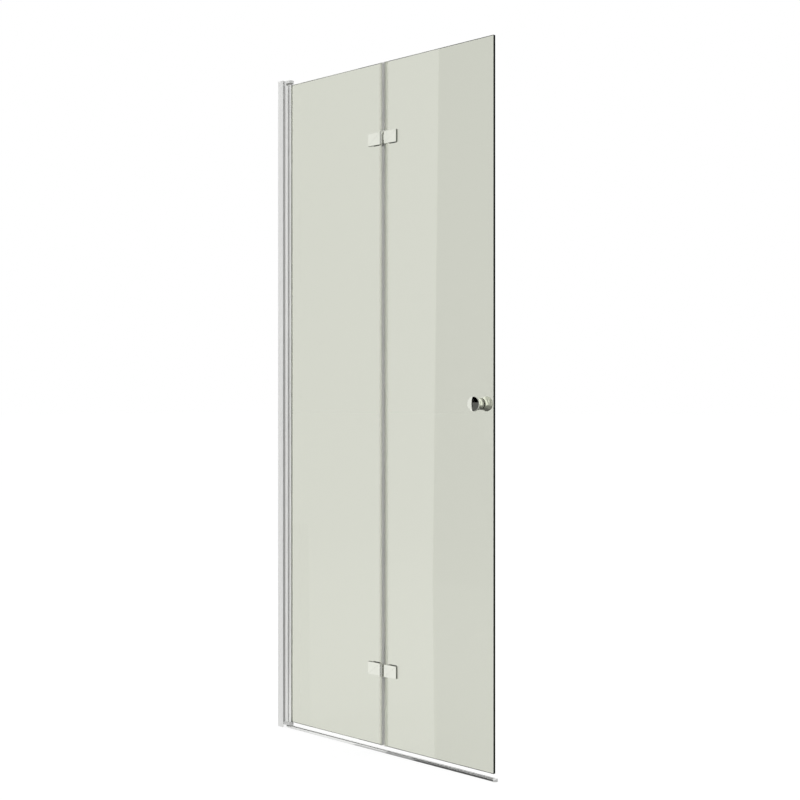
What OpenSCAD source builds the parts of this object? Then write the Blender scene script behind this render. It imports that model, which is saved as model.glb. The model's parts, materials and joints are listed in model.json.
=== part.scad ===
// Folding glass bath screen: two toughened panels on a wall profile, joined by two fold hinges.
// Frame: the wall is the plane X = 0 and the screen runs along +X to its free edge.
// The room side, where the hinges show, is -Y. The bath side is +Y. Z = 0 is the bath rim.

/* [Glass] */
// Thickness of both glass panels
glass_t = 8; // [5:0.5:9]
// Height of both glass panels
glass_h = 1908; // [1300:1:2000]
// Height of the lower glass edge above the bath rim
glass_lift = 19; // [18:0.5:30]
// Width of the inner panel, next to the wall
inner_glass_w = 364.5; // [250:0.5:600]
// Width of the outer panel, with the free edge
outer_glass_w = 372; // [250:0.5:600]
// Distance between the two glass edges at the fold
fold_gap = 10; // [9:0.5:14]
// Width of the ground arris along every glass edge
glass_arris = 0.5; // [0.2:0.1:1.5]

/* [Wall profile] */
// Overall height, from the bath rim to the top cap
screen_h = 1944; // [1940:1:2100]
// Depth of the wall profile, out from the wall
wall_profile_d = 22; // [18:0.5:24]
// Width of the wall profile
wall_profile_w = 26; // [25:0.5:36]
// Wall thickness of the wall profile
wall_profile_t = 1.8; // [1.2:0.1:2.2]
// Radius of the long outer edges of the profiles
profile_edge_r = 0.6; // [0.3:0.1:1]
// Radius of the holes for the wall screws
wall_hole_r = 2.75; // [2:0.05:4]
// Number of wall screw holes
wall_hole_n = 4; // [2:1:6]
// Distance from each end of the screen to its nearest wall screw hole
wall_hole_end = 105; // [60:5:250]
// Thickness of the top cap's plate
top_cap_t = 2; // [1:0.5:4]
// Length of the top cap's plug inside the profile
top_cap_plug = 10; // [6:1:14]
// Thickness of the plug's walls
top_cap_wall = 1.6; // [1:0.1:2.5]

/* [Adjusting profile] */
// Distance from the wall to the back end of the adjusting profile
adjust_gap = 6; // [4.5:0.5:12]
// Wall thickness of the adjusting profile
adjust_t = 1.6; // [1.2:0.1:2]
// Clearance between the two profiles on each side
profile_play = 0.3; // [0.1:0.05:0.6]
// Width of the cover strip beside the wall profile, on the room side
cover_strip_w = 7; // [4:0.5:10]
// Thickness of the cover strip
cover_strip_t = 0.9; // [0.6:0.1:1.4]
// Height of the adjusting profile above the upper glass edge
adjust_over = -1; // [-3:0.5:3]
// Distance from the pivot axis back to the end of the room-side lip
front_lip_back = 1.5; // [0:0.5:3]
// Distance from the pivot axis back to the end of the bath-side lip
rear_lip_back = 7; // [6.5:0.5:9]
// Thickness of the concave web behind the pivot rail
seat_web_t = 1.8; // [1.2:0.1:2.2]
// Number of lock screws between the two profiles
lock_n = 3; // [2:1:5]
// Distance from each glass end to its nearest lock screw
lock_end = 131; // [80:1:300]
// Distance from the wall to the lock screws
lock_x = 14; // [10:0.5:16]
// Radius of a lock screw's shank
lock_r = 1.9; // [1.5:0.1:2.5]
// Radius of a lock screw's head
lock_head_r = 3.4; // [3:0.1:4]
// Height of a lock screw's head
lock_head_h = 1.8; // [1:0.1:2.5]
// Wall thickness of a lock screw's snap cover
cover_t = 1; // [0.6:0.1:1.5]

/* [Pivot] */
// Distance from the wall to the pivot axis
pivot_x = 41; // [39:0.5:60]
// Radius of the pivot rail's round back
rail_r = 7; // [6.5:0.1:7.5]
// Wall thickness of the round back
rail_t = 1.6; // [1.2:0.1:1.8]
// Width of the rail over both jaws
jaw_w = 12; // [11.5:0.1:12.4]
// Distance from the pivot axis to the tips of the jaws
jaw_reach = 7.75; // [7:0.25:10]
// Radius of the rounded jaw tips
jaw_tip_r = 0.8; // [0.4:0.1:1]
// Distance from the pivot axis to the glass edge inside the rail
glass_seat = 3.5; // [3.25:0.25:4]
// Clearance between the round back and its concave seat
seat_play = 0.8; // [0.7:0.05:1.2]
// Thickness of the rail's glazing gasket
rail_gasket_t = 0.5; // [0.4:0.05:0.6]
// Radius of the pivot pins
pivot_pin_r = 3; // [2:0.1:3.2]
// Running clearance of every pin in its bush, on the radius
pin_play = 0.05; // [0.02:0.01:0.09]
// Wall thickness of the pivot bushes
bush_t = 1.5; // [1:0.1:2]
// Length of the pivot bushes
bush_len = 7; // [5:0.5:7]
// Length of the pivot plugs inside the rail
plug_len = 30; // [20:1:60]
// Height of the rail above the upper glass edge
rail_over = 0.5; // [0:0.5:3]
// Thickness of the thrust washer under the rail
thrust_washer_t = 1.2; // [0.8:0.1:1.5]
// Height of the spacer sleeve between the rail and the top block
spacer_h = 5.7; // [4.5:0.1:7]
// Wall thickness of the spacer sleeve
spacer_t = 1.5; // [1:0.1:3]
// Clearance above and below the thrust washer and the spacer sleeve
thrust_play = 0.15; // [0.05:0.05:0.3]

/* [Bearing blocks] */
// Radius of the rounded nose of both blocks
block_r = 9.5; // [8.5:0.25:10.5]
// Height of the top block's head
top_block_h = 8.5; // [8:0.5:12]
// Length of the spigots inside the adjusting profile
spigot_len = 22; // [18:1:40]
// Length of the spigots along the profile's depth
spigot_d = 18; // [12:0.5:20]
// Bevel along the outer edges of the blocks
block_bevel = 1; // [0.4:0.1:2]
// Clearance of the spigots, and of a block above the threshold rail
block_play = 0.2; // [0.1:0.05:0.4]
// Radius of the block screws
block_screw_r = 1.7; // [1.4:0.1:2]

/* [Hinges] */
// Distance from the glass end to the centre of its hinge
hinge_end = 212; // [120:1:400]
// Distance from the middle of the glass to the hinge pin, on the room side
hinge_offset = 12; // [11.5:0.1:14]
// Width of one leaf's plate
leaf_w = 45; // [36:0.5:60]
// Height of the leaves
leaf_h = 35; // [30:0.5:50]
// Thickness of the leaves
leaf_t = 6.2; // [6:0.1:8]
// Distance from the hinge pin to the near edge of a leaf's plate
leaf_edge = 7.25; // [6.5:0.25:9]
// Bevel along the edges of the leaves and back plates
leaf_bevel = 0.7; // [0.3:0.1:1.5]
// Radius of the knuckles
knuckle_r = 5; // [4.6:0.1:5.5]
// Radius of the hinge pins
hinge_pin_r = 2.5; // [2:0.1:2.8]
// Wall thickness of the hinge bushes
hinge_bush_t = 1; // [0.7:0.1:1.3]
// Thickness of the flanges on the hinge bushes
hinge_flange_t = 0.45; // [0.3:0.05:0.8]
// Height of the outer leaf's middle knuckle
mid_knuckle_h = 16.3; // [12:0.1:20]
// Thickness of the gaskets between metal and glass
gasket_t = 0.8; // [0.5:0.1:1.2]
// Width of the clamping plate on the bath side
back_plate_w = 24; // [20:0.5:30]
// Height of the clamping plate on the bath side
back_plate_h = 33; // [30:0.5:35]
// Thickness of the clamping plate on the bath side
back_plate_t = 4; // [3.5:0.1:6]
// Radius of the hinge screws
hinge_screw_r = 2.9; // [2:0.1:3.2]
// Radius of the countersunk heads
hinge_head_r = 5; // [4.4:0.1:5.5]
// Distance between the two screws of a leaf
hinge_screw_gap = 18; // [14:0.5:20]
// Depth of the screw holes in a leaf
leaf_thread_d = 4.4; // [4:0.1:5.6]

/* [Fixings in the glass] */
// Radius of the holes drilled through the glass
glass_hole_r = 5; // [4.6:0.1:7]
// Clearance of a sleeve in its hole and of a screw in its sleeve
sleeve_play = 0.1; // [0.05:0.05:0.3]
// Clearance between a thread and its hole
thread_play = 0.05; // [0.02:0.01:0.1]

/* [Fold seals] */
// Length of the seal's legs along the glass
seal_leg = 8.5; // [6:0.5:12]
// Thickness of the seal's web, and of its legs next to the web
seal_t = 0.9; // [0.6:0.1:1.2]
// Thickness of the legs at their tips
seal_tip_t = 0.3; // [0.2:0.05:0.6]
// Length over which the legs thin out towards their tips
seal_taper = 6; // [3:0.5:6]
// Radius of the hollow bulbs that meet at the fold
bulb_r = 3.4; // [3:0.1:4]
// Wall thickness of the bulbs
bulb_t = 0.9; // [0.6:0.1:1.2]
// Gap between the two bulbs with the screen flat
bulb_gap = 0.3; // [0.1:0.1:1]
// Clearance between the seal and the glass
seal_play = 0.05; // [0.02:0.01:0.1]

/* [Knob] */
// Distance from the free edge to the knob's axis
knob_inset = 45; // [30:1:100]
// Height of the knob's axis above the bath rim
knob_z = 974; // [600:1:1300]
// Radius of the knob's rim
knob_r = 19.5; // [17:0.5:24]
// Radius of the knob's waist
knob_waist_r = 15.5; // [12:0.5:16.5]
// Projection of each half from the glass
knob_len = 30; // [24:0.5:34]
// Height of the cylindrical waist above the glass
knob_waist_h = 7; // [4:0.5:10]
// Height of the cylindrical rim
knob_rim_h = 6; // [4:0.5:10]
// Bevel at the edges of the rim
knob_bevel = 0.8; // [0.4:0.1:1.5]
// Radius of the crowned face
knob_face_r = 100; // [60:5:400]
// Radius of the stud that joins the two halves
stud_r = 3; // [2:0.1:3.5]
// Length of the stud inside each half
stud_grip = 17; // [10:0.5:18]
// Thickness of the clear washers between knob and glass
knob_washer_t = 1; // [0.5:0.1:2]
// Radius of the clear washers
knob_washer_r = 14; // [12:0.5:15]

/* [Threshold rail] */
// Width of the threshold rail on the bath rim
threshold_w = 14; // [12:0.5:16]
// Height of the threshold rail above the bath rim
threshold_h = 8; // [6.5:0.5:9]
// Height of the rail's straight sides above the bath rim
threshold_side_h = 4.9; // [4:0.1:5]
// Wall thickness of the rail
threshold_t = 1.4; // [1:0.1:1.6]
// Distance from the wall profile to the start of the rail
threshold_start = 8; // [2:0.5:20]
// Thickness of the adhesive tape under the rail
tape_t = 0.8; // [0.5:0.1:1.2]
// Distance from the rail's sides to the tape
tape_inset = 1; // [0.5:0.5:3]
// Length of the rounded end cap past the free edge
end_cap_len = 9; // [8:0.5:16]
// Length of the end cap's plug inside the rail
end_plug_len = 14; // [8:1:30]
// Clearance of the end cap's plug
end_plug_play = 0.15; // [0.1:0.05:0.3]

/* [Hidden] */
$fn = 96;

aluminium = [0.80, 0.81, 0.81];
chrome = [0.88, 0.89, 0.90];
steel = [0.68, 0.69, 0.70];
tinted_glass = [0.78, 0.82, 0.77, 0.45];
clear_pvc = [0.86, 0.88, 0.86, 0.6];
grey_pvc = [0.62, 0.63, 0.60];
grey_plastic = [0.74, 0.75, 0.74];
white_nylon = [0.92, 0.92, 0.90];
dark_rubber = [0.16, 0.16, 0.15];
tape_white = [0.90, 0.90, 0.88];

// Small overlap that carries a cut past a face
past = 1;

// Heights
glass_z0 = glass_lift;
glass_z1 = glass_lift + glass_h;
adjust_z0 = glass_z0;
adjust_z1 = glass_z1 + adjust_over;
rail_z0 = glass_z0;
rail_z1 = glass_z1 + rail_over;
thrust_zone = thrust_washer_t + 2 * thrust_play;
spacer_zone = spacer_h + 2 * thrust_play;
top_block_z = rail_z1 + spacer_zone;
bottom_block_z = rail_z0 - thrust_zone;
bottom_block_h = bottom_block_z - threshold_h - block_play;
wall_profile_h = screen_h - top_cap_t;

// Places along the screen
inner_x0 = pivot_x + glass_seat;
inner_x1 = inner_x0 + inner_glass_w;
fold_x = inner_x1 + fold_gap / 2;
outer_x0 = inner_x1 + fold_gap;
outer_x1 = outer_x0 + outer_glass_w;
knob_x = outer_x1 - knob_inset;
half_glass = glass_t / 2;

// Wall and adjusting profiles
channel_w = wall_profile_w - 2 * wall_profile_t;
adjust_w = channel_w - 2 * profile_play;
adjust_inner_w = adjust_w - 2 * adjust_t;
seat_r = rail_r + seat_play;
rear_lip_x = pivot_x - rear_lip_back;
front_lip_x = pivot_x - front_lip_back;
cavity_x1 = rear_lip_x - adjust_t;
wall_hole_pitch = (screen_h - 2 * wall_hole_end) / (wall_hole_n - 1);
wall_hole_zs = [for (i = [0:wall_hole_n - 1]) wall_hole_end + i * wall_hole_pitch];
lock_pitch = (glass_h - 2 * lock_end) / (lock_n - 1);
lock_zs = [for (i = [0:lock_n - 1]) glass_z0 + lock_end + i * lock_pitch];
lock_hole_play = 0.2;
lock_tip_y = adjust_inner_w / 2 - 2;

// Bearing blocks
block_x0 = wall_profile_d + 0.6;
spigot_x1 = pivot_x - seat_r - seat_web_t - block_play;
spigot_x0 = spigot_x1 - spigot_d;
spigot_w = adjust_inner_w - 2 * block_play;
block_screw_x = (wall_profile_d + rear_lip_x) / 2;
block_screw_drop = 10;
block_head_r = 1.6 * block_screw_r;
block_head_h = 1.4;
block_grip = 6;
block_screw_zs = [adjust_z0 + block_screw_drop, adjust_z1 - block_screw_drop];
bush_r = pivot_pin_r + pin_play + bush_t;
bush_seat_r = bush_r + thread_play;
pin_grip = bush_len - 0.5;

// Pivot rail
slot_w = glass_t + 2 * rail_gasket_t + 0.2;
channel_r = rail_r - rail_t;
plug_r = channel_r - 0.1;
plug_flat = glass_seat - rail_gasket_t - 0.35;

// Hinges
hinge_zs = [glass_z0 + hinge_end, glass_z1 - hinge_end];
leaf_front = hinge_offset - half_glass - gasket_t - leaf_t;
leaf_back = leaf_front + leaf_t;
leaf_mid = leaf_edge + leaf_w / 2;
bush_bore_r = hinge_pin_r + pin_play;
hinge_bush_r = bush_bore_r + hinge_bush_t;
flange_r = knuckle_r - 0.4;
knuckle_gap = hinge_flange_t + 0.15;
end_knuckle_z = mid_knuckle_h / 2 + knuckle_gap;
end_knuckle_h = leaf_h / 2 - end_knuckle_z;
screw_offsets = [-hinge_screw_gap / 2, hinge_screw_gap / 2];
hinge_screw_len = back_plate_t + 2 * gasket_t + glass_t + leaf_thread_d - 0.4;
sleeve_r = glass_hole_r - sleeve_play;

// Knob
curve_h = knob_len - knob_rim_h - knob_waist_h;
curve_rise = knob_r - knob_waist_r;
curve_r = (curve_h * curve_h + curve_rise * curve_rise) / (2 * curve_rise);

// Threshold rail
threshold_x0 = wall_profile_d + threshold_start;
dome_rise = threshold_h - threshold_side_h;
dome_r = (threshold_w * threshold_w / 4 + dome_rise * dome_rise) / (2 * dome_rise);

// Shared forms

// Rectangle with round corners, centred
module round_rect(w, h, r) {
  square([w - 2 * r, h], center = true);
  square([w, h - 2 * r], center = true);
  for (x = [-1, 1], y = [-1, 1])
    translate([x * (w / 2 - r), y * (h / 2 - r)]) circle(r = r);
}

// Plate in the XZ plane, bevelled round its face at y = 0, with its back at y = t
module bevelled_plate(w, h, t, bevel) {
  intersection() {
    translate([0, 0, -h / 2])
      linear_extrude(h)
        polygon([[-w / 2, t], [-w / 2, bevel], [-w / 2 + bevel, 0],
                 [w / 2 - bevel, 0], [w / 2, bevel], [w / 2, t]]);
    translate([-w / 2, 0, 0])
      rotate([90, 0, 90])
        linear_extrude(w)
          polygon([[t, -h / 2], [bevel, -h / 2], [0, -h / 2 + bevel],
                   [0, h / 2 - bevel], [bevel, h / 2], [t, h / 2]]);
  }
}

// Round bar or hole along Y, from y = y0 to y = y1
module y_rod(r, y0, y1) {
  translate([0, y0, 0])
    rotate([-90, 0, 0])
      cylinder(h = y1 - y0, r = r);
}

// Countersunk screw along Y: its head's face at y = 0, its tip at y = -len
module countersunk_screw(shank_r, head_r, len) {
  cone_h = head_r - shank_r;
  difference() {
    rotate([90, 0, 0]) {
      cylinder(h = cone_h, r1 = head_r, r2 = shank_r);
      cylinder(h = len, r = shank_r);
    }
    rotate([90, 0, 0])
      translate([0, 0, -past])
        cylinder(h = past + 2, r = shank_r * 0.6, $fn = 6);
  }
}

// Pan head screw along Y: its head sits on the plane y = 0, its tip at y = -len
module pan_screw(shank_r, head_r, head_h, len) {
  difference() {
    union() {
      y_rod(shank_r, -len, 0);
      y_rod(head_r, 0, head_h - 0.5);
      translate([0, head_h - 0.5, 0])
        rotate([-90, 0, 0])
          cylinder(h = 0.5, r1 = head_r, r2 = head_r - 0.8);
    }
    for (a = [0, 90])
      rotate([0, a, 0])
        translate([-head_r * 0.55, head_h - 0.9, -0.35])
          cube([head_r * 1.1, past + 1, 0.7]);
  }
}

// Flat ring in the XY plane
module ring(r_out, r_in, h) {
  difference() {
    cylinder(h = h, r = r_out);
    translate([0, 0, -past])
      cylinder(h = h + 2 * past, r = r_in);
  }
}

// Wall side

module wall_profile_section() {
  difference() {
    translate([wall_profile_d / 2, 0])
      round_rect(wall_profile_d, wall_profile_w, profile_edge_r);
    translate([wall_profile_t, -channel_w / 2])
      square([wall_profile_d, channel_w]);
  }
}

module wall_profile() {
  color(aluminium)
    difference() {
      linear_extrude(wall_profile_h) wall_profile_section();
      for (z = wall_hole_zs)
        translate([-past, 0, z])
          rotate([0, 90, 0])
            cylinder(h = wall_profile_t + 2 * past, r = wall_hole_r);
      for (z = lock_zs)
        translate([lock_x, 0, z])
          y_rod(lock_r + lock_hole_play, channel_w / 2 - past, wall_profile_w / 2 + past);
    }
}

// The cap's hollow plug stands inside the channel, behind the spigot of the top block
module wall_profile_cap() {
  plug_w = channel_w - 2 * profile_play;
  plug_x0 = wall_profile_t + profile_play;
  plug_d = spigot_x0 - block_play - plug_x0;
  color(grey_plastic) {
    translate([wall_profile_d / 2, 0, wall_profile_h])
      linear_extrude(top_cap_t)
        round_rect(wall_profile_d, wall_profile_w, profile_edge_r);
    translate([0, 0, wall_profile_h - top_cap_plug])
      linear_extrude(top_cap_plug)
        difference() {
          translate([plug_x0, -plug_w / 2])
            square([plug_d, plug_w]);
          translate([plug_x0 + top_cap_wall, -plug_w / 2 + top_cap_wall])
            square([plug_d - 2 * top_cap_wall, plug_w - 2 * top_cap_wall]);
        }
  }
}

// Open channel towards the wall, with a concave seat for the round back of the pivot rail.
// The lip on the bath side is short, so the jaws can swing past it.
module adjusting_section() {
  difference() {
    union() {
      translate([adjust_gap, -adjust_w / 2])
        square([rear_lip_x - adjust_gap, adjust_w]);
      translate([rear_lip_x - past, -adjust_w / 2])
        square([front_lip_x - rear_lip_x + past, adjust_w / 2]);
    }
    translate([pivot_x, 0])
      circle(r = seat_r);
    difference() {
      union() {
        translate([adjust_gap - past, 0])
          square([cavity_x1 - adjust_gap + past, adjust_inner_w / 2]);
        translate([adjust_gap - past, -adjust_inner_w / 2])
          square([front_lip_x - adjust_gap - adjust_t, adjust_inner_w / 2 + past / 2]);
      }
      translate([pivot_x, 0])
        circle(r = seat_r + seat_web_t);
    }
  }
}

module adjusting_profile() {
  wall_y0 = adjust_inner_w / 2 - past;
  wall_y1 = adjust_w / 2 + past;
  color(aluminium)
    difference() {
      translate([0, 0, adjust_z0])
        linear_extrude(adjust_z1 - adjust_z0) adjusting_section();
      for (z = lock_zs)
        translate([lock_x, 0, z])
          y_rod(lock_r + thread_play, wall_y0, wall_y1);
      for (z = block_screw_zs)
        translate([block_screw_x, 0, z])
          y_rod(block_screw_r + lock_hole_play, wall_y0, wall_y1);
    }
}

// Strip on the front of the adjusting profile that covers its joint with the wall profile
module profile_cover_strip() {
  x0 = wall_profile_d + 0.1;
  color(grey_pvc)
    translate([x0, -adjust_w / 2, adjust_z0])
      linear_extrude(adjust_z1 - adjust_z0)
        polygon([[0, 0], [0, -cover_strip_t], [cover_strip_w - cover_strip_t, -cover_strip_t],
                 [cover_strip_w, 0]]);
}

// Thin wiper strip along the bottom of the concave seat
module pivot_seat_seal() {
  strip_w = 5;
  color(grey_pvc)
    translate([pivot_x, 0, adjust_z0])
      linear_extrude(adjust_z1 - adjust_z0)
        intersection() {
          difference() {
            circle(r = seat_r - 0.05);
            circle(r = rail_r + seat_play / 3);
          }
          translate([-seat_r - past, -strip_w / 2])
            square([seat_r, strip_w]);
        }
}

module lock_screws() {
  color(steel)
    for (z = lock_zs)
      translate([lock_x, wall_profile_w / 2, z])
        pan_screw(lock_r, lock_head_r, lock_head_h, wall_profile_w / 2 - lock_tip_y);
}

module lock_screw_covers() {
  inner_r = lock_head_r + 0.2;
  inner_h = lock_head_h + 0.2;
  outer_r = inner_r + cover_t;
  color(grey_plastic)
    for (z = lock_zs)
      translate([lock_x, wall_profile_w / 2, z])
        difference() {
          union() {
            y_rod(outer_r, 0, inner_h);
            translate([0, inner_h, 0])
              rotate([-90, 0, 0])
                cylinder(h = cover_t, r1 = outer_r, r2 = outer_r - cover_t);
          }
          y_rod(inner_r, -past, inner_h);
        }
}

// Head of a block, from its face towards the rail at z = 0 out to z = h
module block_head(h) {
  b = block_bevel;
  translate([pivot_x, 0, 0]) {
    cylinder(h = h - b, r = block_r);
    translate([0, 0, h - b])
      cylinder(h = b, r1 = block_r, r2 = block_r - b);
  }
  translate([block_x0, 0, 0])
    rotate([90, 0, 90])
      linear_extrude(pivot_x - block_x0)
        polygon([[-block_r, 0], [block_r, 0], [block_r, h - b],
                 [block_r - b, h], [-block_r + b, h], [-block_r, h - b]]);
}

// Block with its spigot. The spigot's tip is spigot_len inside the adjusting profile, whose
// end lies neck below the face of the head.
module bearing_block(h, neck) {
  difference() {
    union() {
      block_head(h);
      translate([spigot_x0, -spigot_w / 2, -neck - spigot_len])
        cube([spigot_d, spigot_w, neck + spigot_len]);
    }
    translate([pivot_x, 0, -past])
      cylinder(h = bush_len + 0.3 + past, r = bush_seat_r);
    translate([block_screw_x, 0, -neck - block_screw_drop])
      y_rod(block_screw_r + thread_play, spigot_w / 2 - block_grip - past, spigot_w);
  }
}

module top_bearing_block() {
  color(grey_plastic)
    translate([0, 0, top_block_z])
      bearing_block(top_block_h, top_block_z - adjust_z1);
}

module bottom_bearing_block() {
  color(grey_plastic)
    translate([0, 0, bottom_block_z])
      mirror([0, 0, 1])
        bearing_block(bottom_block_h, adjust_z0 - bottom_block_z);
}

module bearing_block_screws() {
  color(steel)
    for (z = block_screw_zs)
      translate([block_screw_x, adjust_w / 2, z])
        pan_screw(block_screw_r, block_head_r, block_head_h,
                  adjust_w / 2 - spigot_w / 2 + block_grip);
}

module bearing_bushes() {
  color(white_nylon)
    for (z = [bottom_block_z - bush_len, top_block_z])
      translate([pivot_x, 0, z])
        ring(bush_r, pivot_pin_r + pin_play, bush_len);
}

// Domed section of the threshold rail, drawn across the rail with its base at y = y0
module threshold_outline(y0, inset) {
  w = threshold_w - 2 * inset;
  intersection() {
    translate([-w / 2, y0])
      square([w, threshold_h - y0]);
    translate([0, threshold_h - dome_r])
      circle(r = dome_r - inset);
  }
}

module threshold_chamber(play) {
  threshold_outline(tape_t + threshold_t + play, threshold_t + play);
}

module threshold_rail() {
  color(aluminium)
    translate([threshold_x0, 0, 0])
      rotate([90, 0, 90])
        linear_extrude(outer_x1 - threshold_x0)
          difference() {
            threshold_outline(tape_t, 0);
            threshold_chamber(0);
          }
}

// The cap's nose is round in plan, and its plug fits the rail's chamber
module threshold_end_cap() {
  nose_r = threshold_w / 2 + 0.5;
  nose_x = outer_x1 + end_cap_len - nose_r;
  color(grey_plastic) {
    intersection() {
      translate([outer_x1, 0, 0])
        rotate([90, 0, 90])
          linear_extrude(end_cap_len) threshold_outline(0, 0);
      linear_extrude(threshold_h + past) {
        translate([nose_x, 0])
          circle(r = nose_r);
        translate([outer_x1 - past, -nose_r])
          square([nose_x - outer_x1 + past, 2 * nose_r]);
      }
    }
    translate([outer_x1 - end_plug_len, 0, 0])
      rotate([90, 0, 90])
        linear_extrude(end_plug_len) threshold_chamber(end_plug_play);
  }
}

module threshold_tape() {
  color(tape_white)
    translate([threshold_x0, -threshold_w / 2 + tape_inset, 0])
      cube([outer_x1 - threshold_x0, threshold_w - 2 * tape_inset, tape_t]);
}

// Inner panel

// Glass sheet from x0 to x1 with a ground arris along every edge
module glass_sheet(x0, x1) {
  a = glass_arris;
  t = half_glass;
  intersection() {
    translate([0, 0, glass_z0])
      linear_extrude(glass_h)
        polygon([[x0 + a, -t], [x1 - a, -t], [x1, -t + a], [x1, t - a],
                 [x1 - a, t], [x0 + a, t], [x0, t - a], [x0, -t + a]]);
    translate([x0, 0, 0])
      rotate([90, 0, 90])
        linear_extrude(x1 - x0)
          polygon([[-t + a, glass_z0], [t - a, glass_z0], [t, glass_z0 + a],
                   [t, glass_z1 - a], [t - a, glass_z1], [-t + a, glass_z1],
                   [-t, glass_z1 - a], [-t, glass_z0 + a]]);
  }
}

// Calls its children at each hinge screw of the leaves on one side of the fold
module at_leaf_screws(side) {
  for (z = hinge_zs, s = screw_offsets)
    translate([fold_x + side * leaf_mid, 0, z + s]) children();
}

module inner_glass() {
  color(tinted_glass)
    difference() {
      glass_sheet(inner_x0, inner_x1);
      at_leaf_screws(-1) y_rod(glass_hole_r, -glass_t, glass_t);
    }
}

// Round back on the pivot axis, running into two jaws that hold the glass edge
module rail_section() {
  difference() {
    union() {
      circle(r = rail_r);
      translate([0, -jaw_w / 2])
        square([jaw_reach - jaw_tip_r, jaw_w]);
      for (s = [-1, 1])
        translate([jaw_reach - jaw_tip_r, s * (jaw_w / 2 - jaw_tip_r)])
          circle(r = jaw_tip_r);
      translate([0, -jaw_w / 2 + jaw_tip_r])
        square([jaw_reach, jaw_w - 2 * jaw_tip_r]);
    }
    circle(r = channel_r);
    translate([0, -slot_w / 2])
      square([jaw_reach + past, slot_w]);
  }
}

module pivot_rail() {
  color(aluminium)
    translate([pivot_x, 0, rail_z0])
      linear_extrude(rail_z1 - rail_z0) rail_section();
}

// U-shaped glazing gasket round the glass edge, flush with the tips of the jaws
module pivot_rail_gasket() {
  g = rail_gasket_t;
  inner_w = glass_t + 0.1;
  color(dark_rubber)
    translate([pivot_x + glass_seat, 0, glass_z0])
      linear_extrude(glass_h)
        difference() {
          translate([-g - 0.1, -inner_w / 2 - g])
            square([jaw_reach - glass_seat + g + 0.1, inner_w + 2 * g]);
          translate([-0.1, -inner_w / 2])
            square([jaw_reach + past, inner_w]);
        }
}

// Plug with its pivot pin: the rail's end is at z = 0 and the pin stands out to z = pin_h
module pivot_plug(pin_h) {
  intersection() {
    translate([0, 0, -plug_len])
      cylinder(h = plug_len, r = plug_r);
    translate([-plug_r - past, -plug_r - past, -plug_len - past])
      cube([plug_r + past + plug_flat, 2 * plug_r + 2 * past, plug_len + 2 * past]);
  }
  cylinder(h = pin_h - 0.4, r = pivot_pin_r);
  translate([0, 0, pin_h - 0.4])
    cylinder(h = 0.4, r1 = pivot_pin_r, r2 = pivot_pin_r - 0.4);
}

module top_pivot_plug() {
  color(steel)
    translate([pivot_x, 0, rail_z1])
      pivot_plug(spacer_zone + pin_grip);
}

module bottom_pivot_plug() {
  color(steel)
    translate([pivot_x, 0, rail_z0])
      mirror([0, 0, 1])
        pivot_plug(thrust_zone + pin_grip);
}

// Thrust washer under the rail and spacer sleeve above it, both round the pins
module pivot_washers() {
  bore_r = pivot_pin_r + 0.1;
  color(white_nylon) {
    translate([pivot_x, 0, rail_z0 - thrust_play - thrust_washer_t])
      ring(rail_r - 0.3, bore_r, thrust_washer_t);
    translate([pivot_x, 0, rail_z1 + thrust_play])
      ring(bore_r + spacer_t, bore_r, spacer_h);
  }
}

// Seal on the glass edge at x = 0, with the glass on the -X side and the bulb on the +X side
module seal_section() {
  bulb_x = fold_gap / 2 - bulb_gap / 2 - bulb_r;
  web_x = seal_play + seal_t;
  leg_y = half_glass + seal_play;
  difference() {
    union() {
      polygon([[-seal_leg, -leg_y - seal_tip_t], [-seal_leg + seal_taper, -leg_y - seal_t],
               [web_x, -leg_y - seal_t], [web_x, leg_y + seal_t],
               [-seal_leg + seal_taper, leg_y + seal_t], [-seal_leg, leg_y + seal_tip_t]]);
      translate([bulb_x, 0])
        circle(r = bulb_r);
    }
    translate([-seal_leg - past, -leg_y])
      square([seal_leg + past + seal_play, 2 * leg_y]);
    intersection() {
      translate([bulb_x, 0])
        circle(r = bulb_r - bulb_t);
      translate([web_x, -bulb_r])
        square([2 * bulb_r, 2 * bulb_r]);
    }
  }
}

// The leg on the room side is notched out round each hinge leaf
module fold_seal() {
  notch_h = leaf_h + 2;
  leg_y = half_glass + seal_play;
  difference() {
    translate([0, 0, glass_z0])
      linear_extrude(glass_h) seal_section();
    for (z = hinge_zs)
      translate([-seal_leg - past, -leg_y - seal_t - past, z - notch_h / 2])
        cube([seal_leg + past, seal_t + past + seal_play / 2, notch_h]);
  }
}

module inner_fold_seal() {
  color(grey_pvc)
    translate([inner_x1, 0, 0])
      fold_seal();
}

// Arm from a leaf's plate, on the -X side, round the hinge pin at the origin
module knuckle_section() {
  circle(r = knuckle_r);
  polygon([[0, 0], [-leaf_edge - past, leaf_front + 0.2], [-leaf_edge - past, leaf_back - 1.5],
           [-1, knuckle_r * 0.97], [0, knuckle_r * 0.9]]);
}

// Leaf on the -X side of the pin. Each knuckle is [lower end, height], and bore_r is its bore.
module hinge_leaf(knuckles, bore_r) {
  difference() {
    union() {
      translate([-leaf_mid, leaf_front, 0])
        bevelled_plate(leaf_w, leaf_h, leaf_t, leaf_bevel);
      for (k = knuckles)
        translate([0, 0, k[0]])
          linear_extrude(k[1]) knuckle_section();
    }
    translate([0, 0, -leaf_h])
      cylinder(h = 2 * leaf_h, r = bore_r);
    for (s = screw_offsets)
      translate([-leaf_mid, 0, s])
        y_rod(hinge_screw_r + thread_play, leaf_back - leaf_thread_d, leaf_back + past);
  }
}

module inner_leaf(z) {
  color(chrome)
    translate([fold_x, -hinge_offset, z])
      hinge_leaf([[-leaf_h / 2, end_knuckle_h], [end_knuckle_z, end_knuckle_h]],
                 hinge_pin_r + 0.02);
}

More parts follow.
